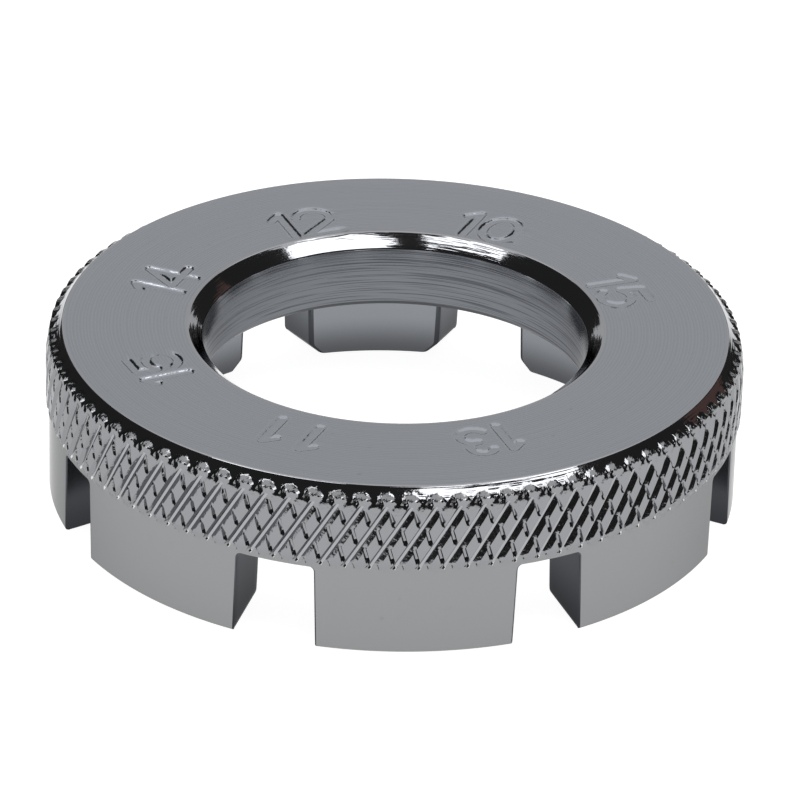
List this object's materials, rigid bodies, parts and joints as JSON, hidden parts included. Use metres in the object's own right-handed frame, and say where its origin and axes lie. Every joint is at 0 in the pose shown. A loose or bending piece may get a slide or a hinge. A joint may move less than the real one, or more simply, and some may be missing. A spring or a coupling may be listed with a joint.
{
  "type": "spoke wrench",
  "caption": "Round chromed spoke wrench: a knurled ring with a plain centre bore and a skirt cut into jaws, whose slots fit spoke nipples of different gauges.",
  "frame": {"origin": "on the bore axis, in the plane of the jaws' feet", "axes": "+Z along the bore axis, out of the numbered face; -Y through the middle of the 11 gauge slot"},
  "size_m": [0.042, 0.042, 0.0106],
  "materials": {
    "turned_chrome": "chrome plate over fine turning lines, bevels polished",
    "knurled_chrome": "bright chrome plate over a diamond knurl",
    "bright_chrome": "smooth bright chrome plate"
  },
  "bodies": {
    "root": {"top_ring": "turned_chrome", "knurled_band": "knurled_chrome", "jaw_11_13": "bright_chrome", "jaw_13_plain": "bright_chrome", "jaw_plain_15_slim": "bright_chrome", "jaw_15_slim_10": "bright_chrome", "jaw_10_12": "bright_chrome", "jaw_12_14": "bright_chrome", "jaw_14_15": "bright_chrome", "jaw_15_11": "bright_chrome"}
  },
  "joints": []
}
